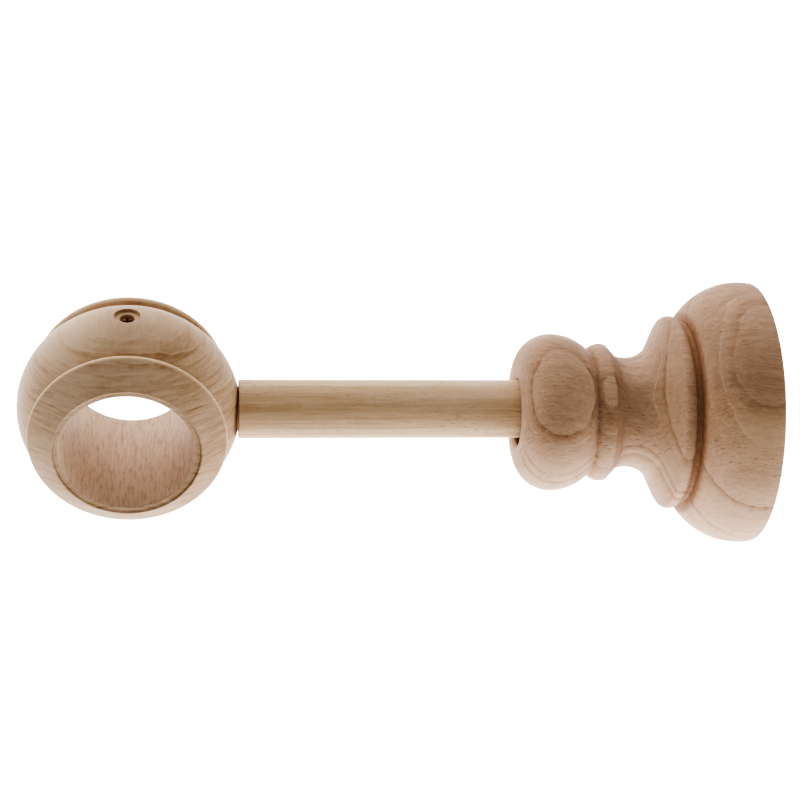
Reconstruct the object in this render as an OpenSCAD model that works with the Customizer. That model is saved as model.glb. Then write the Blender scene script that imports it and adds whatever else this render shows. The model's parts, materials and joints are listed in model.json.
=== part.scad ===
// Turned beech bracket for a wooden curtain pole.
// Millimetres, +Z up. The origin is the centre of the rosette's wall face. The wall is on
// the +Y side, the arm points along -Y, and the pole runs through the ring along X.

/* [Arm] */
// Distance from the wall to the centre line of the pole
projection = 150; // [130:1:180]
// Diameter of the dowel
arm_d = 14; // [13:0.5:15]
// Length of the dowel that sits in the rosette's socket
arm_grip = 24; // [20:1:26]
// Chamfer round the dowel's wall end
arm_chamfer = 0.8; // [0.4:0.1:1.5]
// Diameter of the tenon turned on the dowel's ring end
tenon_d = 10; // [8:0.5:11]
// Length of the tenon
tenon_len = 8; // [5:0.5:8]
// Open joint between the dowel's flat shoulder and the ball-shaped ring
shoulder_gap = 0.12; // [0.05:0.01:0.4]

/* [Ring] */
// Diameter of the hole for the pole
pole_bore_d = 31; // [29:0.5:32]
// Largest diameter of the ball-shaped body
ball_d = 52.4; // [52:0.2:54]
// Radius of the body's crowned section
ball_crown = 14.9; // [14:0.1:16]
// Diameter of the thin flange at each end
flange_d = 46; // [45:0.5:47]
// Distance from the ring's middle to the outer side of a flange's rim
flange_out = 13.5; // [13:0.1:14]
// Width of a flange's rounded rim
rim_w = 1.4; // [1.2:0.1:1.6]
// Distance from the ring's middle to the crest of an end face
face_out = 18.3; // [18:0.1:19]
// Diameter of the crest of an end face
face_d = 34.1; // [33.5:0.1:35]
// Depth of the dished edge between the crest and the hole
dish_depth = 0.45; // [0.3:0.05:0.6]

/* [Rosette] */
// Length of the rosette from the wall face to its front face
rosette_len = 57.5; // [57:0.1:58]
// Diameter of the front face, inside the front ball's rounding
nose_d = 21.4; // [21:0.1:22]
// Largest diameter of the front ball
knob_d = 38; // [37.6:0.1:38.4]
// Distance from the wall to the front ball's largest diameter
knob_at = 49.2; // [49:0.1:49.4]
// Radius of the front ball's section behind its largest diameter
knob_back = 12.7; // [12:0.1:13.4]
// Largest diameter of the bead behind the front ball
bead_d = 33.4; // [33:0.1:33.8]
// Diameter of the neck
neck_d = 26.6; // [26:0.1:27.2]
// Distance from the wall to the middle of the neck
neck_at = 30.6; // [30.4:0.1:30.8]
// Radius of the cove that forms the neck
cove = 7.5; // [7.4:0.1:7.6]
// Diameter of the lip of the bell
lip_d = 47; // [46.6:0.1:47.4]
// Diameter of the floor of the channel behind the lip
channel_d = 43; // [42:0.1:44]
// Largest diameter of the base, near the wall
base_d = 63.7; // [63:0.1:64.4]
// Radius of the base's cushion-shaped section
base_crown = 16.5; // [16:0.1:17]

/* [Socket and screws] */
// Play of the dowel in the rosette's socket, on the diameter
socket_play = 2; // [1:0.1:2.4]
// Depth of the socket
socket_depth = 36; // [34:0.5:38]
// Diameter of the two set screws
screw_d = 3.3; // [3:0.1:3.5]
// Play of a set screw in its hole, on the diameter
screw_play = 0.1; // [0.06:0.02:0.16]
// Diameter of the shallow counterbore over a set screw
screw_sink_d = 6; // [5:0.1:6.5]
// Length of the set screw that holds the pole
pole_screw_len = 8.7; // [8:0.1:9]
// Length of the set screw that holds the arm
arm_screw_len = 11.2; // [10:0.1:11.4]
// Distance from the wall to the set screw that holds the arm
arm_screw_at = 47.5; // [46:0.5:49]

/* [Wall fixing] */
// Outside diameter of the threaded insert
insert_d = 12; // [11:0.5:13]
// Length of the threaded insert
insert_len = 15; // [12:0.5:16]
// Diameter of the hole in the insert, inside its thread
insert_bore_d = 6.8; // [6:0.1:7]

/* [Hidden] */

$fn = 128;
arc_step = 6;       // degrees between the points of an arc in the rosette's section
eps = 0.01;
far = 100;          // longer than any cut needs to be
glue = 0.05;        // radial room for glue round the tenon and the insert
contact = 0.05;     // air left between the dowel and the socket's roof
tip_gap = 0.15;     // air left between the arm's set screw and the dowel

beech = [0.78, 0.64, 0.50];
beech_pale = [0.82, 0.69, 0.54];
steel = [0.30, 0.27, 0.25];
zinc = [0.72, 0.70, 0.64];

// Where the dowel's shoulder, its wall end and its axis are
arm_lift = socket_play / 2 - contact;
ball_curve_r = ball_d / 2 - ball_crown;
ball_top_at_tenon = sqrt(pow(ball_d / 2, 2) - pow(tenon_d / 2, 2));
shoulder_at = projection - ball_top_at_tenon - shoulder_gap;
dowel_end_at = rosette_len - arm_grip;

// Shallow counterbores and the ends of the set screws, measured from the bore's axis
sink_depth = 1.05;
pole_sink_floor = ball_d / 2 - sink_depth;
pole_tip = pole_bore_d / 2 + 0.2;
knob_r_at_screw = knob_d / 2 - knob_back
    + sqrt(pow(knob_back, 2) - pow(knob_at - arm_screw_at, 2));
arm_sink_floor = knob_r_at_screw - sink_depth;
arm_tip = arm_d / 2 - arm_lift + tip_gap;

// Stations along the rosette, from the wall
wall_edge = 0.4;
base_widest_at = 2.7;
channel_from = 16.9;
shoulder_top_at = 16.5;
lip_at = 19.4;
lip_round = 1.8;
lip_back = 0.5;
bell_foot_at = 24;
bead_at = 37;
bead_round = 3.8;
bead_back_at = 36;
cove_end_at = 33.5;
groove_from = 40;
groove_to = 40.7;
knob_from = 41.15;
groove_floor_r = 13.9;
groove_step_r = 15;

// Part of a disc in the half plane of a turned section, between two heights
module disc_slice(r_centre, at, radius, low, high) {
    intersection() {
        translate([r_centre, at]) circle(r = radius, $fn = 180);
        translate([0, low]) square([far, high - low]);
    }
}

// Solid band of a turned section, from the axis to a radius, between two heights
module band(radius, low, high) {
    translate([0, low]) square([radius, high - low]);
}

// Points of an arc in a turned section, about [r_centre, at]
function arc(r_centre, at, radius, from, to) =
    let (steps = ceil(abs(to - from) / arc_step))
    [for (i = [0:steps]) let (turn = from + (to - from) * i / steps)
        [r_centre + radius * cos(turn), at + radius * sin(turn)]];

module rosette_section() {
    base_curve_r = base_d / 2 - base_crown;
    lip_curve_r = lip_d / 2 - lip_round;
    lip_curve_at = lip_at + lip_back;
    cove_curve_r = neck_d / 2 + cove;
    cove_from = 180 + asin((neck_at - bell_foot_at) / cove);
    cove_to = 180 - asin((cove_end_at - neck_at) / cove);
    bead_curve_r = bead_d / 2 - bead_round;
    // A straight flank from the bell's foot meets the lip's rounding in this direction
    flank = [cove_curve_r + cove * cos(cove_from) - lip_curve_r, bell_foot_at - lip_curve_at];
    flank_turn = atan2(flank[1], flank[0]) - acos(lip_round / norm(flank));

    polygon(concat(
        [[0, 0], [base_d / 2 - 1.3 * wall_edge, 0]],
        arc(base_curve_r, base_widest_at, base_crown,
            asin((wall_edge - base_widest_at) / base_crown),
            asin((shoulder_top_at - base_widest_at) / base_crown)),
        [[channel_d / 2, channel_from], [channel_d / 2, lip_at]],
        arc(lip_curve_r, lip_curve_at, lip_round, -asin(lip_back / lip_round), flank_turn),
        arc(cove_curve_r, neck_at, cove, cove_from, cove_to),
        arc(bead_curve_r, bead_at, bead_round, asin((bead_back_at - bead_at) / bead_round),
            asin((groove_from - bead_at) / bead_round)),
        [[groove_floor_r, groove_from], [groove_floor_r, groove_to],
         [groove_step_r, groove_to], [groove_step_r, knob_from]],
        arc(knob_d / 2 - knob_back, knob_at, knob_back,
            -asin((knob_at - knob_from) / knob_back), 0),
        arc(nose_d / 2, knob_at, (knob_d - nose_d) / 2, arc_step, 90),
        [[0, rosette_len]]));
}

// A turned section becomes a solid of revolution that stands out from the wall
module turned_from_wall() {
    rotate([90, 0, 0]) rotate_extrude($fn = 180) children();
}

// Round bar along -Y, from one distance to another from the wall
module bar_from_wall(d, near, away) {
    translate([0, -near, 0]) rotate([90, 0, 0]) cylinder(d = d, h = away - near);
}

module rosette() {
    mouth = 0.45;
    socket_d = arm_d + socket_play;
    color(beech) difference() {
        turned_from_wall() rosette_section();
        // Socket for the arm, with a broken edge at its mouth
        bar_from_wall(socket_d, rosette_len - socket_depth, far);
        translate([0, -rosette_len + mouth, 0]) rotate([90, 0, 0])
            cylinder(d1 = socket_d, d2 = socket_d + 4 * mouth, h = 2 * mouth);
        // Hole for the insert
        bar_from_wall(insert_d + 2 * glue, -1, insert_len + 1);
        // Hole and counterbore for the arm's set screw, from below
        translate([0, -arm_screw_at, -far]) cylinder(d = screw_d + screw_play, h = far);
        translate([0, -arm_screw_at, -far]) cylinder(d = screw_sink_d, h = far - arm_sink_floor);
    }
}

module threaded_insert() {
    color(zinc) difference() {
        bar_from_wall(insert_d, 0, insert_len);
        bar_from_wall(insert_bore_d, -1, far);
    }
}

module arm_dowel() {
    color(beech_pale) translate([0, 0, arm_lift]) {
        bar_from_wall(arm_d, dowel_end_at + arm_chamfer, shoulder_at);
        translate([0, -dowel_end_at, 0]) rotate([90, 0, 0])
            cylinder(d1 = arm_d - 2 * arm_chamfer, d2 = arm_d, h = arm_chamfer);
        bar_from_wall(tenon_d, shoulder_at - 1, shoulder_at + shoulder_gap + tenon_len);
    }
}

// Thin flange with a rounded rim and a sloping face, on the +X end of the ring
module flange_section() {
    rim_r = rim_w / 2;
    rim_curve_r = flange_d / 2 - rim_r;
    face_turn = 45;
    translate([rim_curve_r, flange_out - rim_r]) circle(r = rim_r, $fn = 48);
    polygon([[0, flange_out - rim_w], [rim_curve_r, flange_out - rim_w],
             [rim_curve_r + 0.98 * rim_r * cos(face_turn),
              flange_out - rim_r + 0.98 * rim_r * sin(face_turn)],
             [face_d / 2, face_out], [0, face_out]]);
}

module ring_section() {
    body_end = flange_out - rim_w + eps;
    disc_slice(ball_curve_r, 0, ball_crown, -body_end, body_end);
    band(ball_curve_r + 1, -body_end, body_end);
    flange_section();
    mirror([0, 1]) flange_section();
}

module pole_ring() {
    color(beech) translate([0, -projection, arm_lift]) difference() {
        rotate([0, 90, 0]) rotate_extrude($fn = 180) ring_section();
        // Hole for the pole, dished at both ends
        rotate([0, 90, 0]) cylinder(d = pole_bore_d, h = 2 * far, center = true);
        for (turn = [90, -90]) rotate([0, turn, 0]) translate([0, 0, face_out - dish_depth])
            cylinder(d1 = pole_bore_d - eps, d2 = 2 * face_d - pole_bore_d, h = 2 * dish_depth);
        // Hole for the dowel's tenon
        translate([0, ball_top_at_tenon - tenon_len - 0.4, 0]) rotate([-90, 0, 0])
            cylinder(d = tenon_d + 2 * glue, h = far);
        // Hole and counterbore for the pole's set screw, from above
        cylinder(d = screw_d + screw_play, h = far);
        translate([0, 0, pole_sink_floor]) cylinder(d = screw_sink_d, h = far);
    }
}

// Headless set screw with a cross recess in its top at z = 0 and a conical tip below
module set_screw(len) {
    slot_w = 0.6;
    slot_l = 0.72 * screw_d;
    slot_h = 1.2;
    tip_h = 0.9;
    edge = 0.3;
    color(steel) difference() {
        union() {
            translate([0, 0, -len]) cylinder(d1 = screw_d - 1.4, d2 = screw_d, h = tip_h);
            translate([0, 0, tip_h - len]) cylinder(d = screw_d, h = len - tip_h - edge);
            translate([0, 0, -edge]) cylinder(d1 = screw_d, d2 = screw_d - 2 * edge, h = edge);
        }
        for (turn = [0, 90]) rotate([0, 0, turn])
            translate([-slot_l / 2, -slot_w / 2, -slot_h]) cube([slot_l, slot_w, far]);
    }
}

module pole_screw() {
    translate([0, -projection, arm_lift + pole_tip + pole_screw_len]) set_screw(pole_screw_len);
}

module arm_screw() {
    translate([0, -arm_screw_at, -arm_tip - arm_screw_len]) rotate([180, 0, 0])
        set_screw(arm_screw_len);
}

rosette();
threaded_insert();
arm_dowel();
pole_ring();
pole_screw();
arm_screw();
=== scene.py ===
"""Turned beech wall bracket for a wooden curtain pole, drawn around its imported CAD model.

The wall is the plane y = 0, the arm points along -Y, the pole runs along X and +Z is up. Lengths are
in millimetres. They become metres where a mesh is finished or the camera is placed.
"""

import json
import math

import bmesh
import bpy
from mathutils import Matrix, Vector


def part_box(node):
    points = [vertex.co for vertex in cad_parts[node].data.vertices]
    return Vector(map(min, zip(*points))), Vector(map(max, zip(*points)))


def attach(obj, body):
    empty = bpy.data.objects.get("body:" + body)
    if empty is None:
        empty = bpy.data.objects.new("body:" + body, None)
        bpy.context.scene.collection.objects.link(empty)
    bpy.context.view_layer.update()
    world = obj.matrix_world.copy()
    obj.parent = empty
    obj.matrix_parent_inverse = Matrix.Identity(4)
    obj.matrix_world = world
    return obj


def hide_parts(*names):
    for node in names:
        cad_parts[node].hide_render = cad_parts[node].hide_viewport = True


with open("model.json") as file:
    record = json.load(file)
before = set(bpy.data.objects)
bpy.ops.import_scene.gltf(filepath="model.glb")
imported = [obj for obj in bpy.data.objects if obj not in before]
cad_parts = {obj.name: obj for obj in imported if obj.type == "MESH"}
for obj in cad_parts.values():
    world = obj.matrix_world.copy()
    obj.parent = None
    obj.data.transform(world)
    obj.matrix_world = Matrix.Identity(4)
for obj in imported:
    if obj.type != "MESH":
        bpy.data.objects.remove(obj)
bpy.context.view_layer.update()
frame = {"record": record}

MM = 0.001
X = Vector((1, 0, 0))
Y = Vector((0, 1, 0))
Z = Vector((0, 0, 1))

# ---------------------------------------------------------------- sizes from the frame


def box_mm(node):
    """Lowest and highest corner of a CAD node in millimetres."""
    low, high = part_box(node)
    return low / MM, high / MM


mounts = {m["name"]: m for m in frame["record"]["mounts"]}
rosette_low, rosette_high = box_mm("rosette")
dowel_low, dowel_high = box_mm("arm_dowel")
ring_low, ring_high = box_mm("pole_ring")
insert_low, insert_high = box_mm("threaded_insert")
pole_screw_low, pole_screw_high = box_mm("pole_screw")
arm_screw_low, arm_screw_high = box_mm("arm_screw")

ring_centre = Vector(mounts["pole_bore"]["pos_m"]) / MM
rosette_centre = (rosette_low + rosette_high) / 2
dowel_centre = (dowel_low + dowel_high) / 2
arm_screw_centre = (arm_screw_low + arm_screw_high) / 2

bore_r = mounts["pole_bore"]["dims"]["r_mm"]
insert_bore_r = mounts["wall_thread"]["dims"]["r_mm"]
ball_r = ring_centre.y - ring_low.y
base_r = (rosette_high.x - rosette_low.x) / 2
rosette_len = -rosette_low.y
dowel_r = (dowel_high.x - dowel_low.x) / 2
insert_r = (insert_high.x - insert_low.x) / 2
insert_len = insert_high.y - insert_low.y
screw_r = (pole_screw_high.x - pole_screw_low.x) / 2

# ---------------------------------------------------------------- sizes of the turned outlines

# Ring: radius from the pole's axis, station along it from the ring's middle
ball_crown = 14.9
body_end = 11.5
rim_r = 0.7
rim_back_r = 1.3
flange_r = 23.0
flange_out = 13.5
crest_r = 17.05
face_out = ring_high.x
rebate_r = 16.6
rebate_depth = 0.45

# Rosette: radius from its axis, station from the wall
wall_edge = 0.4
base_crown = 16.5
base_widest_at = 2.7
shoulder_top = 16.5
channel_from = 16.9
channel_r = 22.0
channel_gap = 0.3
lip_at = 18.4
lip_r = 23.5
lip_round = 1.8
lip_back = 1.5
lip_turn = math.radians(42)
bell_foot = 24.0
cove = 7.5
cove_end = 33.5
neck_r = 13.3
neck_at = 30.6
bead_r = 16.7
bead_round = 3.8
bead_at = 37.0
bead_back = 36.0
groove_from = 39.5
groove_to = 40.15
groove_r = 15.05
groove_step_r = 15.25
knob_from = 40.55
knob_r = 19.0
knob_at = 49.2
knob_back = 12.7
knob_front = 8.3
mouth_edge = 0.9
socket_r = 8.0
socket_depth = 36.0
insert_hole_r = insert_r + 0.05
insert_hole_depth = insert_len + 1.0

# Dowel and its glued tenon
tenon_r = 5.0
tenon_len = 8.0
tenon_room = 0.05
tenon_hole_spare = 0.2
dowel_chamfer = 0.8

# Screw holes, screws and insert
screw_hole_r = 1.7
sink_r = 3.0
sink_depth = 1.05
hole_chamfer = 0.12
thread_sharpness = 1.6
thread_depth = 0.36
thread_pitch = 1.25
screw_point = 0.9
screw_tip_r = 0.35
screw_chamfer = 0.3
recess_half = 1.19
recess_arm = 0.34
recess_depth = 1.2
recess_mouth = 0.5
insert_chamfer = 0.35
bolt_thread_depth = 0.6
bolt_thread_pitch = 1.25
wood_thread_depth = 0.7
wood_thread_pitch = 2.5

# How finely the meshes follow the real curves
around = 224
around_small = 96
rows_a_turn = 12
arc_step = math.radians(4)
smooth_limit = math.radians(32)
far = 60.0

# ---------------------------------------------------------------- outlines


def arc(centre_r, centre_t, radius, start, end):
    """Points of an arc in a section, from one angle to another. Angle 0 points away from the axis."""
    count = max(2, round(abs(end - start) / arc_step))
    turns = [start + (end - start) * i / count for i in range(count + 1)]
    return [(centre_r + radius * math.cos(a), centre_t + radius * math.sin(a)) for a in turns]


def walk(points, reach):
    """The place on a polyline that lies reach along it, and the index of the first point past it."""
    left = reach
    for i in range(1, len(points)):
        step = math.dist(points[i - 1], points[i])
        if step > left:
            k = left / step
            (r0, t0), (r1, t1) = points[i - 1], points[i]
            return (r0 + (r1 - r0) * k, t0 + (t1 - t0) * k), i
        left -= step
    return points[-1], len(points)


def eased(section):
    """Rounds the corners of a section: a point (r, t, reach) is a corner, rounded from reach before it."""
    flat = [p[:2] for p in section]
    for i in reversed([i for i, p in enumerate(section) if len(p) == 3]):
        reach = section[i][2]
        before, back = walk(flat[i::-1], reach)
        after, ahead = walk(flat[i:], reach)
        corner = flat[i]
        bend = []
        for k in (0, 0.2, 0.4, 0.6, 0.8, 1):
            a, b, c = (1 - k) ** 2, 2 * k * (1 - k), k * k
            bend.append(tuple(a * before[j] + b * corner[j] + c * after[j] for j in (0, 1)))
        flat[i - back + 1 : i + ahead] = bend
    return flat


# ---------------------------------------------------------------- mesh makers


def finish_mesh(name, mesh):
    """A shaded object from a bmesh in millimetres: smooth on the turned curves, sharp at real edges."""
    bmesh.ops.scale(mesh, vec=(MM, MM, MM), verts=mesh.verts)
    bmesh.ops.recalc_face_normals(mesh, faces=mesh.faces)
    data = bpy.data.meshes.new(name)
    mesh.to_mesh(data)
    mesh.free()
    data.shade_smooth()
    data.set_sharp_from_angle(angle=smooth_limit)
    piece = bpy.data.objects.new(name, data)
    bpy.context.scene.collection.objects.link(piece)
    return piece


def lathe(name, rows, along, side, centre, closed=False, steps=around):
    """Skins rows of radii round an axis. A row is (station, radius) or (station, [radius at each step])."""
    other = along.cross(side)
    mesh = bmesh.new()
    rings = []
    for station, radii in rows:
        middle = centre + along * station
        if not isinstance(radii, list):
            if radii < MM:
                rings.append([mesh.verts.new(middle)])
                continue
            radii = [radii] * steps
        turn = 2 * math.pi / steps
        rings.append([
            mesh.verts.new(middle + (side * math.cos(i * turn) + other * math.sin(i * turn)) * radius)
            for i, radius in enumerate(radii)
        ])
    for low, high in zip(rings, rings[1:] + (rings[:1] if closed else [])):
        for i in range(steps):
            j = (i + 1) % steps
            corners = [low[i % len(low)], low[j % len(low)], high[j % len(high)], high[i % len(high)]]
            mesh.faces.new(list(dict.fromkeys(corners)))
    return finish_mesh(name, mesh)


def turned(name, section, along, side, centre, closed=False):
    """A turned piece from a section of (radius, station) points."""
    return lathe(name, [(t, r) for r, t in section], along, side, centre, closed)


def carve(piece, *cutters):
    """Cuts the cutters out of a piece and removes them."""
    for cutter in cutters:
        cut = piece.modifiers.new("cut", "BOOLEAN")
        cut.operation = "DIFFERENCE"
        cut.solver = "EXACT"
        cut.object = cutter
    bpy.context.view_layer.update()
    result = bpy.data.meshes.new_from_object(piece.evaluated_get(bpy.context.evaluated_depsgraph_get()))
    piece.modifiers.clear()
    rough = piece.data
    piece.data = result
    result.name = piece.name
    result.shade_smooth()
    result.set_sharp_from_angle(angle=smooth_limit)
    bpy.data.meshes.remove(rough)
    for cutter in cutters:
        bpy.data.meshes.remove(cutter.data)
    return piece


def skewed(along, steps):
    """X turned by half a mesh step round an axis, so that a cutter's corners miss the piece's corners."""
    return Matrix.Rotation(math.pi / steps, 3, along) @ X


def screw_hole(centre, along, floor, bottom):
    """A cutter for a set screw's hole with its shallow counterbore, opening towards along."""
    section = [(0, bottom), (screw_hole_r, bottom), (screw_hole_r, floor - hole_chamfer)]
    section += [(screw_hole_r + hole_chamfer, floor), (sink_r, floor), (sink_r, far), (0, far)]
    return turned("hole_cutter", section, along, skewed(along, around), centre)


def wound(radius, depth, pitch, station, low, high, fade):
    """Radius at each angle of a thread cut depth deep into a cylinder, fading out towards both ends."""
    strength = max(0.0, min(1.0, (station - low) / fade, (high - station) / fade))
    radii = []
    for i in range(around_small):
        phase = (station / pitch - i / around_small) % 1.0
        flank = max(0.0, 1 - abs(2 * phase - 1) * thread_sharpness)
        radii.append(radius - depth * strength * flank)
    return radii


# ---------------------------------------------------------------- the pieces


def make_rosette():
    """The wall rosette: base, channel, bell, neck, bead, front ball, socket and insert hole."""
    base_edge_t = base_widest_at - wall_edge
    base_from = -math.asin(base_edge_t / base_crown)
    base_to = math.asin((shoulder_top - base_widest_at) / base_crown)
    shoulder = arc(base_r - base_crown, base_widest_at, base_crown, base_from, base_to)
    lip_mid_r, lip_mid_t = lip_r - lip_round, lip_at + lip_back
    neck_mid_r = neck_r + cove
    lip = arc(lip_mid_r, lip_mid_t, lip_round, -math.asin(lip_back / lip_round), lip_turn)
    hollow_from = math.pi + math.asin((neck_at - bell_foot) / cove)
    hollow_to = math.pi - math.asin((cove_end - neck_at) / cove)
    hollow = arc(neck_mid_r, neck_at, cove, hollow_from, hollow_to)
    bead_mid_r = bead_r - bead_round
    bead_from = -math.asin((bead_at - bead_back) / bead_round)
    bead = arc(bead_mid_r, bead_at, bead_round, bead_from, math.asin((groove_from - bead_at) / bead_round))
    knob_mid_r = knob_r - knob_back
    back = arc(knob_mid_r, knob_at, knob_back, -math.asin((knob_at - knob_from) / knob_back), 0)
    nose_r = knob_r - knob_front
    front = arc(nose_r, knob_at, knob_front, 0, math.pi / 2)
    section = [(0, insert_hole_depth), (insert_hole_r, insert_hole_depth), (insert_hole_r, 0, 0.15)]
    section += [(shoulder[0][0] - 0.3 * wall_edge, 0, 0.3)]
    section += shoulder[:-1] + [(*shoulder[-1], 0.4)]
    section += [(channel_r, channel_from, 0.3), (channel_r, lip_at - channel_gap, 0.4), (*lip[0], 0.3)]
    section += lip[1:-1] + [(*lip[-1], 0.12), (*hollow[0], 0.5)] + hollow[1:-1]
    section += [(*hollow[-1], 0.3), (*bead[0], 0.14)] + bead[1:-1] + [(*bead[-1], 0.25)]
    section += [(groove_r, groove_to, 0.15), (groove_step_r, groove_to, 0.12)]
    section += [(groove_step_r, knob_from, 0.12), (*back[0], 0.25)] + back[1:] + front[1:]
    section += [(socket_r + mouth_edge, rosette_len, 0.25), (socket_r, rosette_len - mouth_edge, 0.3)]
    section += [(socket_r, rosette_len - socket_depth), (0, rosette_len - socket_depth)]
    rosette = turned("rosette_wood", eased(section), -Y, X, Vector((0, 0, 0)))
    hole_at = -arm_screw_centre.y
    surface = knob_mid_r + math.sqrt(knob_back**2 - (knob_at - hole_at) ** 2)
    start = Vector((0, arm_screw_centre.y, 0))
    return carve(rosette, screw_hole(start, -Z, surface - sink_depth, socket_r / 2))


def make_ring():
    """The ball-shaped ring: two flanges, rebated end faces, the pole's hole, the screw's and the tenon's."""
    crown_mid = ball_r - ball_crown
    crown_turn = math.asin(body_end / ball_crown)
    crown = arc(crown_mid, 0, ball_crown, 0, crown_turn)
    rim_at = flange_out - rim_r
    rim = arc(flange_r - rim_back_r, rim_at, rim_back_r, -math.pi / 2, 0)[:-1]
    rim += arc(flange_r - rim_r, rim_at, rim_r, 0, math.pi / 4)
    half = [(bore_r, 0), (bore_r, face_out - rebate_depth, 0.35), (rebate_r, face_out - rebate_depth, 0.05)]
    half += [(crest_r, face_out, 0.2)]
    half += rim[::-1] + [(crown[-1][0], body_end, 0.12)] + crown[-2::-1]
    one_side = eased(half)
    other_side = [(r, -t) for r, t in one_side[-2:0:-1]]
    ring = turned("pole_ring_wood", one_side + other_side, X, Y, ring_centre, closed=True)
    top = Vector((0, ring_centre.y, ring_centre.z))
    shoulder = dowel_low.y + tenon_len
    hole_r, hole_end = tenon_r + tenon_room, -tenon_len - tenon_hole_spare
    hole = [(0, hole_end), (hole_r, hole_end), (hole_r, far), (0, far)]
    tenon_hole = turned("tenon_cutter", hole, Y, skewed(Y, around), Vector((0, shoulder, dowel_centre.z)))
    return carve(ring, screw_hole(top, Z, ball_r - sink_depth, bore_r / 2), tenon_hole)


def make_dowel():
    """The dowel arm: a chamfered wall end, and a tenon behind a flat shoulder at the ring end."""
    length = dowel_high.y - dowel_low.y
    section = [(0, 0), (tenon_r, 0, 0.4), (tenon_r, tenon_len), (dowel_r, tenon_len, 0.15)]
    section += [(dowel_r, length - dowel_chamfer, 0.25), (dowel_r - dowel_chamfer, length, 0.25), (0, length)]
    return turned("arm_dowel_wood", eased(section), Y, X, Vector((0, dowel_low.y, dowel_centre.z)))


def cross_recess(centre, along):
    """A cutter for a cross recess that narrows towards its floor."""
    mesh = bmesh.new()
    half, arm = recess_half, recess_arm
    outline = [(half, -arm), (half, arm), (arm, arm), (arm, half), (-arm, half), (-arm, arm),
               (-half, arm), (-half, -arm), (-arm, -arm), (-arm, -half), (arm, -half), (arm, -arm)]
    side = skewed(along, around_small)
    other = along.cross(side)
    rows = []
    for depth, spread in ((recess_mouth, 1.1), (-recess_depth, 0.55)):
        middle = centre + along * depth
        rows.append([mesh.verts.new(middle + (side * a + other * b) * spread) for a, b in outline])
    for i in range(len(outline)):
        j = (i + 1) % len(outline)
        mesh.faces.new([rows[0][i], rows[0][j], rows[1][j], rows[1][i]])
    for row in rows:
        mesh.faces.new(row)
    return finish_mesh("recess_cutter", mesh)


def make_screw(name, low, high, along):
    """A headless set screw: a cone point, a cut thread and a cross recess in its outer end."""
    length = high.z - low.z
    tip = Vector(((low.x + high.x) / 2, (low.y + high.y) / 2, low.z if along.z > 0 else high.z))
    threaded_from, threaded_to = screw_point, length - screw_chamfer
    rows = [(0, 0.0), (0.05, screw_tip_r)]
    count = round((threaded_to - threaded_from) / thread_pitch * rows_a_turn)
    for i in range(count + 1):
        station = threaded_from + (threaded_to - threaded_from) * i / count
        thread = wound(screw_r, thread_depth, thread_pitch, station, threaded_from, threaded_to, 0.5)
        rows.append((station, thread))
    rows += [(length, screw_r - screw_chamfer), (length, 0.0)]
    screw = lathe(name, rows, along, X, tip, steps=around_small)
    return carve(screw, cross_recess(tip + along * length, along))


def make_insert():
    """The threaded insert in the wall face: a sleeve with a wood thread outside and an M8 thread inside."""
    edge = insert_chamfer
    low, high = edge, insert_len - edge
    count = round(insert_len / bolt_thread_pitch * rows_a_turn)
    inner, outer = [], []
    for i in range(count + 1):
        station = low + (high - low) * i / count
        bolt_thread = wound(insert_bore_r, -bolt_thread_depth, bolt_thread_pitch, station, low, high, 0.6)
        wood_thread = wound(insert_r, wood_thread_depth, wood_thread_pitch, station, low, high, 0.8)
        inner.append((station, bolt_thread))
        outer.append((station, wood_thread))
    rows = [(0.0, insert_bore_r + edge)] + inner + [(insert_len, insert_bore_r + edge)]
    rows += [(insert_len, insert_r - edge)] + outer[::-1] + [(0.0, insert_r - edge)]
    return lathe("threaded_insert_zinc", rows, -Y, X, Vector((0, 0, 0)), closed=True, steps=around_small)


# ---------------------------------------------------------------- materials


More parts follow.
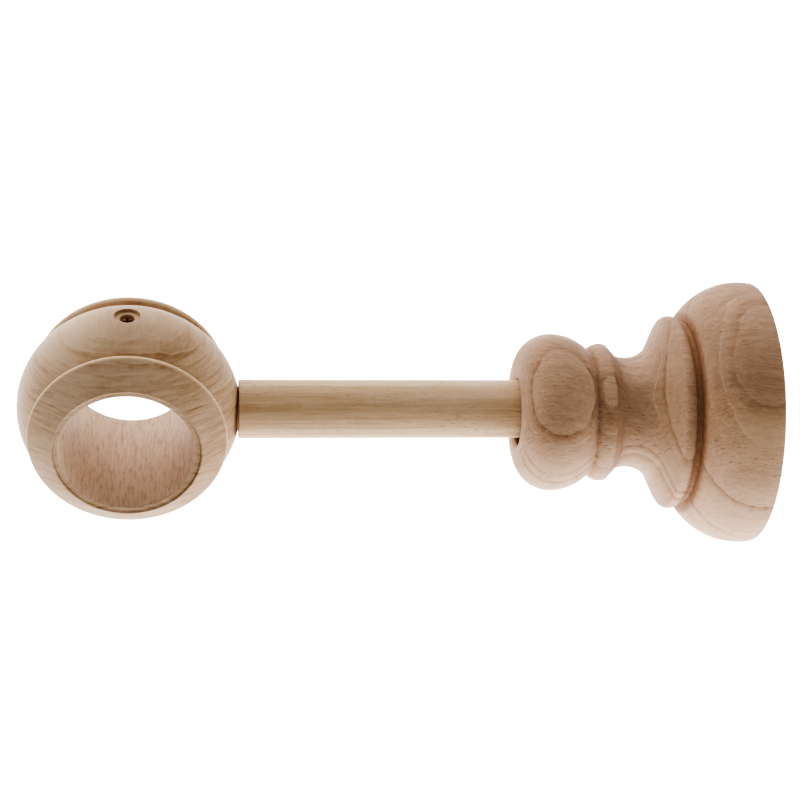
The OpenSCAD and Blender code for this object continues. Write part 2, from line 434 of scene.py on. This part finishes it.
class Nodes:
    """Short calls for building the nodes of one material or world."""

    def __init__(self, owner):
        owner.use_nodes = True
        self.owner = owner
        self.tree = owner.node_tree
        self.shader = self.tree.nodes.get("Principled BSDF")

    def add(self, kind, inputs=(), **settings):
        node = self.tree.nodes.new("ShaderNode" + kind)
        for key, value in settings.items():
            setattr(node, key, value)
        for key, value in dict(inputs).items():
            self.feed(node.inputs[key], value)
        return node

    def feed(self, socket, value):
        if isinstance(value, bpy.types.NodeSocket):
            self.tree.links.new(value, socket)
        else:
            socket.default_value = value

    def math(self, operation, a, b=0.0, c=0.0):
        return self.add("Math", {0: a, 1: b, 2: c}, operation=operation).outputs[0]

    def total(self, first, *others):
        for other in others:
            first = self.math("ADD", first, other)
        return first

    def times(self, first, *others):
        for other in others:
            first = self.math("MULTIPLY", first, other)
        return first

    def dot(self, vector, direction):
        node = self.add("VectorMath", {0: vector, 1: tuple(direction)}, operation="DOT_PRODUCT")
        return node.outputs["Value"]

    def combine(self, x, y, z):
        return self.add("CombineXYZ", {"X": x, "Y": y, "Z": z}).outputs[0]

    def millimetres(self):
        """The shaded spot in the piece's own frame."""
        spot = self.add("TexCoord").outputs["Object"]
        return self.add("VectorMath", {0: spot, "Scale": 1 / MM}, operation="SCALE").outputs[0]

    def ramp(self, value, low, high, bottom=0.0, top=1.0):
        """Eases from bottom to top while the value goes from low to high, which may be the smaller one."""
        inputs = {"Value": value, "From Min": low, "From Max": high, "To Min": bottom, "To Max": top}
        return self.add("MapRange", inputs, interpolation_type="SMOOTHSTEP").outputs[0]

    def between(self, value, rise_from, rise_to, fall_from, fall_to):
        """Goes up from 0 to 1, stays there and goes down to 0 again."""
        return self.times(self.ramp(value, rise_from, rise_to), self.ramp(value, fall_to, fall_from))

    def noise(self, vector, detail=2.0, roughness=0.5, scale=1.0):
        inputs = {"Vector": vector, "Scale": scale, "Detail": detail, "Roughness": roughness}
        return self.add("TexNoise", inputs).outputs[0]

    def draw(self, number):
        """A random share that stays the same for the same number."""
        return self.add("TexWhiteNoise", {"W": number}, noise_dimensions="1D").outputs["Value"]

    def dots(self, vector, edge, core):
        """Spots round random points: 0 farther than edge from the nearest one, and 1 within core of it."""
        cell = self.add("TexVoronoi", {"Vector": vector, "Scale": 1.0, "Randomness": 1.0})
        return self.ramp(cell.outputs["Distance"], edge, core)

    def mix(self, factor, a, b):
        node = self.add("Mix", data_type="RGBA")
        self.feed(node.inputs[0], factor)
        self.feed(node.inputs[6], a)
        self.feed(node.inputs[7], b)
        return node.outputs[2]


def srgb(red, green, blue):
    """A linear colour from its 8-bit sRGB values."""
    steps = [v / 255 for v in (red, green, blue)]
    return tuple(v / 12.92 if v <= 0.04045 else ((v + 0.055) / 1.055) ** 2.4 for v in steps) + (1.0,)


def tilted(degrees):
    """A unit vector in the XZ plane, this many degrees above +X."""
    return Vector((math.cos(math.radians(degrees)), 0, math.sin(math.radians(degrees))))


# Brown of the ray flecks and torn patches, also used for painted shade at the bead's foot, on the base and in
# the rebate
fleck_and_shade_brown = srgb(104, 66, 36)
# Brown for the painted shadow in the rosette's socket
socket_shade_brown = srgb(70, 32, 18)
# Brown of the channel: its torn end grain and painted shade of the recess
channel_tear_and_shade_brown = srgb(150, 92, 46)
end_brown = srgb(146, 118, 92)
# Pale grey of drilled wood, also used as painted fill light in the pole's hole
drilled_grey_and_fill_light = srgb(210, 184, 160)
# Cream for painted highlights on the flange rims and painted light on the base
highlight_cream = srgb(240, 206, 164)

# The rosette's fibre leans a little off its axis, and its bark side is up and to +X
rosette_lean = math.radians(8)
rosette_bark = 57
rosette_fibre = Y * math.cos(rosette_lean) - tilted(rosette_bark + 90) * math.sin(rosette_lean)

# Painted shade and light on one side of the base: a darker band and a paler one below it, where they rise and
# fall, measured across that side
band_side = 49
painted_shade_band = (-9.0, 2.0, 8.0, 22.0)
painted_light_band = (-24.0, -11.0, -11.0, -5.0)

# How strongly each feature of the wood shows
rosette_grain = {"line": 0.5, "flat": 0.7, "end": 0.35, "streaks": 0.5, "clouds": 0.8, "layers": 0.3,
                 "mottle": 0.7, "mottle_len": 2.2, "rays": 0.42}
ring_grain = {"line": 0.5, "flat": 0.2, "end": 0.1, "streaks": 0.3, "clouds": 0.7, "layers": 1.35,
              "mottle": 0.3, "mottle_len": 2.2, "rays": 0.1}
dowel_grain = {"line": 0.3, "flat": 0.7, "end": 0.2, "streaks": 1.4, "clouds": 0.5, "layers": 0.3,
               "mottle": 0.8, "mottle_len": 7.0, "rays": 0.35}
middle_tone = 0.36


def wood_axes(n, centre, fibre, outward, pith, seed):
    """The spot from the piece's centre, its distances from the pith both ways, and its place in the wood.

    place(r, t, f, shift) gives coordinates in units of these lengths outward, sideways and along the fibre,
    moved to a new part of the pattern.
    """
    spot = n.add("VectorMath", {0: n.millimetres(), 1: tuple(centre)}, operation="SUBTRACT").outputs[0]
    radial = n.math("ADD", n.dot(spot, outward), pith)
    sideways = n.dot(spot, fibre.cross(outward))
    length = n.dot(spot, fibre)

    def place(r, t, f, shift):
        return n.combine(n.math("MULTIPLY_ADD", radial, 1 / r, seed + shift),
                         n.math("MULTIPLY_ADD", sideways, 1 / t, seed - shift),
                         n.math("MULTIPLY_ADD", length, 1 / f, shift))

    return spot, radial, sideways, place


def growth_rings(n, radial, sideways, place, ring_width, seed):
    """Rings round the pith, bent by slow noise: the dark late wood of each year, and each year's tone."""
    depth = n.math("SQRT", n.total(n.times(radial, radial), n.times(sideways, sideways)))
    sway = n.math("SUBTRACT", n.noise(place(45, 30, 80, 3.1), detail=1.0), 0.5)
    ripple = n.math("SUBTRACT", n.noise(place(7, 5, 22, 7.7)), 0.5)
    depth = n.total(depth, n.times(sway, 7.0), n.times(ripple, 1.6))
    years = n.math("DIVIDE", depth, ring_width)
    stretch = n.noise(n.combine(n.times(years, 0.55), seed, 0.0))
    years = n.math("MULTIPLY_ADD", stretch, 1.6, years)
    year = n.math("FLOOR", years)
    season = n.math("FRACT", years)
    late = n.between(season, 0.25, 0.9, 0.9, 1.0)
    late = n.math("MULTIPLY_ADD", n.ramp(season, 0.16, 0.04), -0.7, late)
    broken = n.ramp(n.noise(place(5, 4, 11, 6.6)), 0.36, 0.62, 0.25, 1.0)
    chance = n.math("POWER", n.draw(n.math("ADD", year, seed)), 2.0)
    strength = n.math("MULTIPLY_ADD", chance, 0.85, 0.15)
    return n.times(late, broken, strength), n.draw(n.math("ADD", year, seed + 37.0))


def ray_flecks(n, place):
    """Thin ribbons from pith to bark, seen as short dashes on flat-sawn sides."""
    dashes = n.dots(place(11, 0.5, 2.6, 0.4), 0.31, 0.1)
    specks = n.dots(place(6, 0.3, 1.3, 5.9), 0.3, 0.1)
    presence = n.ramp(n.noise(place(12, 6, 14, 9.3), detail=1.0), 0.35, 0.62)
    return n.math("MAXIMUM", n.times(dashes, presence), n.times(specks, 0.55))


def beech(name, centre, fibre, outward, pith, ring_width, seed, light, dark, shade_slope, weights, marks_and_painted_light=None):
    """Raw sanded beech. fibre and outward are unit vectors: along the fibre, and from the pith to the bark.

    The pith lies that many millimetres from the piece's centre. shade_slope says how fast the tone darkens
    per
    millimetre: painted light and shade. marks_and_painted_light(n, place, spot) gives pairs of a share and a
    colour for what the tools left and for painted light and shade.
    """
    n = Nodes(bpy.data.materials.new(name))
    spot, radial, sideways, place = wood_axes(n, centre, fibre, outward, pith, seed)
    line, year_tone = growth_rings(n, radial, sideways, place, ring_width, seed)
    rays = ray_flecks(n, place)

    # Fibres, thin layers inside the years, mottling and slow changes of tone
    fibres = n.noise(place(0.5, 0.34, 9, 1.7), detail=3.0, roughness=0.6)
    layers = n.noise(place(0.6, 6, 12, 2.9), roughness=0.6)
    mottle = n.noise(place(0.55, 0.45, weights["mottle_len"], 8.1), roughness=0.6)
    streaks = n.noise(place(2.4, 1.1, 60, 2.3))
    clouds = n.noise(place(22, 16, 55, 4.9), detail=1.0)

    # Where the surface cuts across the fibre, and where it follows the rings and their edges show less
    normal = n.add("TexCoord").outputs["Normal"]
    end = n.ramp(n.math("ABSOLUTE", n.dot(normal, fibre)), 0.5, 0.98)
    edges = n.ramp(n.math("ABSOLUTE", n.dot(normal, outward)), 0.7, 0.97, 1.0, weights["flat"])
    line = n.times(line, edges)
    layers = n.math("MULTIPLY_ADD", n.math("SUBTRACT", layers, 0.5), edges, 0.5)

    # The steady slope of tone across the piece is painted light and shade
    tone = n.total(n.math("MULTIPLY_ADD", line, weights["line"], middle_tone), n.dot(spot, shade_slope))
    features = [(fibres, 0.42), (year_tone, 0.2), (streaks, weights["streaks"]), (clouds, weights["clouds"]),
                (layers, weights["layers"]), (mottle, weights["mottle"])]
    for source, weight in features:
        tone = n.total(tone, n.math("MULTIPLY_ADD", source, weight, -weight / 2))
    colour = n.mix(n.math("MINIMUM", n.math("MAXIMUM", tone, 0.0), 1.0), light, dark)
    colour = n.mix(n.times(end, weights["end"]), colour, end_brown)
    colour = n.mix(n.times(rays, weights["rays"]), colour, fleck_and_shade_brown)
    # Tool marks, and painted light and shade, laid over the wood
    for share, paint in marks_and_painted_light(n, place, spot) if marks_and_painted_light else []:
        colour = n.mix(share, colour, paint)
    n.feed(n.shader.inputs["Base Color"], colour)

    rough = n.total(n.math("MULTIPLY_ADD", fibres, 0.14, 0.5), n.times(end, 0.12))
    n.feed(n.shader.inputs["Roughness"], rough)
    n.shader.inputs["Specular IOR Level"].default_value = 0.4
    n.shader.inputs["Sheen Weight"].default_value = 0.06
    n.shader.inputs["Sheen Roughness"].default_value = 0.5

    relief = n.total(n.times(fibres, 0.45), n.times(rays, -0.5), n.times(line, 0.12))
    bump = n.add("Bump", {"Height": relief, "Strength": 0.5, "Distance": 0.05 * MM})
    n.feed(n.shader.inputs["Normal"], bump.outputs[0])
    return n.owner


def from_axis(n, spot, axis):
    """Distance of a spot from the line through the piece's centre along an axis."""
    keep = tuple(Vector((1, 1, 1)) - axis)
    flat = n.add("VectorMath", {0: spot, 1: keep}, operation="MULTIPLY").outputs[0]
    return n.add("VectorMath", {0: flat}, operation="LENGTH").outputs["Value"]


def rosette_marks_and_shade(n, place, spot):
    """Torn end grain and painted shade in the channel, painted shade at the bead's foot, painted shade and
    light in bands on the base, and painted shadow in the socket.
    """
    along = n.math("ADD", n.dot(spot, Y), rosette_centre.y)
    ragged = n.noise(place(1.2, 1.2, 5, 3.7), detail=3.0, roughness=0.65)
    station = n.math("MULTIPLY_ADD", ragged, 1.6, n.math("MULTIPLY_ADD", along, -1.0, -0.8))
    # The channel is stained darker brown: partly its torn end grain, partly painted shade of the recess
    channel = n.between(station, shoulder_top - 0.6, shoulder_top + 0.5, lip_at - 0.7, lip_at + 0.3)
    # Painted shade in the corner where the neck meets the back of the bead
    bead_foot_shade = n.between(station, cove_end - 2.8, cove_end + 0.4, bead_back - 0.6, bead_back + 0.2)

    # Painted shade across the middle of the base's side towards +X and up, and painted light below it
    side = n.ramp(n.dot(spot, tilted(band_side)), 5.0, 20.0)
    base = n.times(side, n.ramp(station, shoulder_top, 14.0))
    upward = n.dot(spot, tilted(band_side + 90))
    band_shade = n.times(base, n.between(upward, *painted_shade_band), n.ramp(station, 1.0, 9.0, 0.45, 1.0))
    pale = n.times(base, n.between(upward, *painted_light_band), n.ramp(station, 14.0, 6.0))

    # Painted shadow on the socket's wall and the inner part of its mouth chamfer
    floor_at = socket_depth - rosette_len
    inside = n.between(along, 0.1 - rosette_len, 1.2 - rosette_len, floor_at + 1, floor_at + 2)
    socket = n.times(n.ramp(from_axis(n, spot, Y), socket_r + 0.75, socket_r + 0.35), inside)
    return [(n.times(channel, 0.5), channel_tear_and_shade_brown), (n.times(bead_foot_shade, 0.2), fleck_and_shade_brown),
            (n.times(band_shade, 0.26), fleck_and_shade_brown), (n.times(pale, 0.28), highlight_cream),
            (n.times(socket, 0.85), socket_shade_brown)]


def ring_marks_light_and_shade(n, place, spot):
    """The drilled wall of the pole's hole, paler partly from painted fill light, with torn patches, painted
    shade in the sides of its rebate and painted highlights on the rims of the flanges.
    """
    radius = from_axis(n, spot, X)
    reach = n.math("ABSOLUTE", n.dot(spot, X))
    # The bore's wall is paler and greyer: partly its rough drilled surface, partly painted fill light
    drilled = n.ramp(radius, bore_r + 0.35, bore_r + 0.1)
    tears = n.noise(place(0.6, 0.6, 3.4, 5.3), detail=2.5, roughness=0.65)
    dark = n.times(drilled, n.ramp(tears, 0.42, 0.75, 0.0, 0.34))
    pale = n.times(drilled, n.ramp(tears, 0.58, 0.28, 0.0, 0.5))
    # Painted shade in the rebate's inner corner, darkest on the left and right of the hole
    corner = n.between(radius, rebate_r - 0.05, rebate_r + 0.1, crest_r - 0.25, crest_r - 0.05)
    corner = n.times(corner, n.ramp(reach, face_out - 0.05, face_out - 0.25))
    side_shade = n.ramp(n.math("ABSOLUTE", n.dot(spot, Y)), 0.4 * crest_r, 0.9 * crest_r, 0.0, 0.62)
    # Painted highlight: a paler line along the rounded outer rim of each flange
    rim = n.times(n.ramp(radius, flange_r - 0.5, flange_r - 0.1), n.ramp(reach, body_end - 0.3, body_end))
    return [(n.times(drilled, 0.7), drilled_grey_and_fill_light), (dark, fleck_and_shade_brown), (pale, drilled_grey_and_fill_light),
            (n.times(corner, side_shade), fleck_and_shade_brown), (n.times(rim, 0.5), highlight_cream)]


def metal(name, colour, tarnish, gloss, wear):
    """Plated or browned steel with a blotchy film, fine scratches and worn edges."""
    n = Nodes(bpy.data.materials.new(name))
    spot = n.millimetres()
    film = n.noise(spot, detail=3.0, scale=0.9)
    stretched = n.add("VectorMath", {0: spot, 1: (9.0, 1.2, 9.0)}, operation="MULTIPLY").outputs[0]
    scratches = n.noise(stretched)
    edge = n.ramp(n.add("NewGeometry").outputs["Pointiness"], 0.52, 0.6)
    tint = n.mix(n.ramp(film, 0.35, 0.7), colour, tarnish)
    tint = n.mix(n.times(edge, 0.6), tint, wear)
    n.feed(n.shader.inputs["Base Color"], tint)
    n.shader.inputs["Metallic"].default_value = 1.0
    n.feed(n.shader.inputs["Roughness"], n.math("MULTIPLY_ADD", film, 0.25, gloss))
    bump = n.add("Bump", {"Height": scratches, "Strength": 0.35, "Distance": 0.02 * MM})
    n.feed(n.shader.inputs["Normal"], bump.outputs[0])
    return n.owner


# ---------------------------------------------------------------- the assembly


def dress(piece, body, node, material):
    """Paints a piece, ties it to its body and lets it stand for its CAD node."""
    piece.data.materials.clear()
    piece.data.materials.append(material)
    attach(piece, body)
    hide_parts(node)


rosette_beech = beech(
    "rosette_beech", rosette_centre, fibre=rosette_fibre, outward=tilted(rosette_bark), pith=70.0,
    ring_width=2.8, seed=15.8, light=srgb(209, 173, 143), dark=srgb(155, 113, 77),
    shade_slope=Vector((-0.007, 0.0015, 0.01)), weights=rosette_grain, marks_and_painted_light=rosette_marks_and_shade,
)
ring_beech = beech(
    "ring_beech", ring_centre, fibre=X, outward=Z, pith=75.0,
    ring_width=1.7, seed=41.9, light=srgb(212, 182, 150), dark=srgb(168, 130, 91),
    shade_slope=Vector((0, 0.013, -0.006)), weights=ring_grain, marks_and_painted_light=ring_marks_light_and_shade,
)
dowel_beech = beech(
    "dowel_beech", dowel_centre, fibre=Y, outward=tilted(38), pith=64.0,
    ring_width=2.1, seed=73.1, light=srgb(230, 198, 162), dark=srgb(188, 150, 106),
    shade_slope=Vector((0, 0, 0)), weights=dowel_grain,
)
browned_steel = metal("browned_steel", srgb(150, 98, 66), srgb(92, 52, 34), 0.4, srgb(190, 150, 120))
zinc_plate = metal("zinc_plate", srgb(196, 192, 180), srgb(158, 156, 148), 0.25, srgb(222, 220, 214))

dress(make_rosette(), "rosette", "rosette", rosette_beech)
dress(make_insert(), "rosette", "threaded_insert", zinc_plate)
dress(make_dowel(), "arm", "arm_dowel", dowel_beech)
dress(make_ring(), "arm", "pole_ring", ring_beech)
pole_screw = make_screw("pole_screw_steel", pole_screw_low, pole_screw_high, Z)
dress(pole_screw, "pole_screw", "pole_screw", browned_steel)
arm_screw = make_screw("arm_screw_steel", arm_screw_low, arm_screw_high, -Z)
dress(arm_screw, "arm_screw", "arm_screw", browned_steel)

# ---------------------------------------------------------------- camera

camera_at = Vector((361.5, -135.57, 250.15))
camera_yaw, camera_pitch, camera_roll = (math.radians(a) for a in (7.848, 34.050, 4.428))
camera_lens = 82.73

look = Vector((-math.cos(camera_pitch) * math.cos(camera_yaw),
               math.cos(camera_pitch) * math.sin(camera_yaw), -math.sin(camera_pitch)))
level = look.cross(Z).normalized()
upright = level.cross(look)
camera_up = upright * math.cos(camera_roll) - level * math.sin(camera_roll)
camera_right = look.cross(camera_up)

camera_data = bpy.data.cameras.new("camera")
camera_data.lens = camera_lens
camera_data.sensor_width = 36.0
camera_data.clip_start = 0.01
camera = bpy.data.objects.new("camera", camera_data)
bpy.context.scene.collection.objects.link(camera)
turn = Matrix((camera_right, camera_up, -look)).transposed().to_4x4()
camera.matrix_world = Matrix.Translation(camera_at * MM) @ turn
bpy.context.scene.camera = camera

# ---------------------------------------------------------------- floor and light

floor_drop = 110.0
floor_half = 6000.0
side_glow = 1.62
top_glow = 2.0
opening_glow = 0.16
far_side_glow = 0.4
opening_towards = (-look + Z * 0.2).normalized()
opening_from, opening_to = (math.cos(math.radians(a)) for a in (80, 48))
floor_glow = 2.5
floor_glow_front = 0.4
front_towards = Vector((1, -0.6, 0))
front_from, front_to = 60.0, 450.0
backdrop_glow = 5.0

mesh = bmesh.new()
corners = [(-1, -1), (1, -1), (1, 1), (-1, 1)]
floor_z = rosette_low.z - floor_drop
mesh.faces.new([mesh.verts.new((x * floor_half, y * floor_half, floor_z)) for x, y in corners])
floor = finish_mesh("floor", mesh)
paper = Nodes(bpy.data.materials.new("floor_paper"))
distance = paper.dot(paper.add("TexCoord").outputs["Object"], front_towards)
glow = paper.ramp(distance, front_from * MM, front_to * MM, floor_glow, floor_glow_front)
lit = paper.add("Emission", {"Strength": glow})
seen = paper.add("Emission", {"Strength": backdrop_glow})
by_camera = paper.add("LightPath").outputs["Is Camera Ray"]
choice = paper.add("MixShader", {0: by_camera, 1: lit.outputs[0], 2: seen.outputs[0]})
paper.feed(paper.tree.nodes["Material Output"].inputs["Surface"], choice.outputs[0])
floor.data.materials.append(paper.owner)

world = bpy.data.worlds.new("light_tent")
bpy.context.scene.world = world
sky = Nodes(world)
sky.tree.nodes.clear()
direction = sky.add("TexCoord").outputs["Generated"]
walls = sky.ramp(sky.dot(direction, Z), 0.1, 0.9, side_glow, top_glow)
opening = sky.ramp(sky.dot(direction, opening_towards), opening_from, opening_to, 1.0, opening_glow)
far_side = sky.ramp(sky.dot(direction, Y), 0.1, 0.9, 1.0, far_side_glow)
white = (1, 1, 1, 1)
tent = sky.add("Background", {"Color": white, "Strength": sky.times(walls, opening, far_side)})
backdrop = sky.add("Background", {"Color": white, "Strength": backdrop_glow})
by_camera = sky.add("LightPath").outputs["Is Camera Ray"]
choice = sky.add("MixShader", {0: by_camera, 1: tent.outputs[0], 2: backdrop.outputs[0]})
sky.add("OutputWorld", {"Surface": choice.outputs[0]})

view = bpy.context.scene.view_settings
view.view_transform = "AgX"
view.look = "AgX - Very High Contrast"
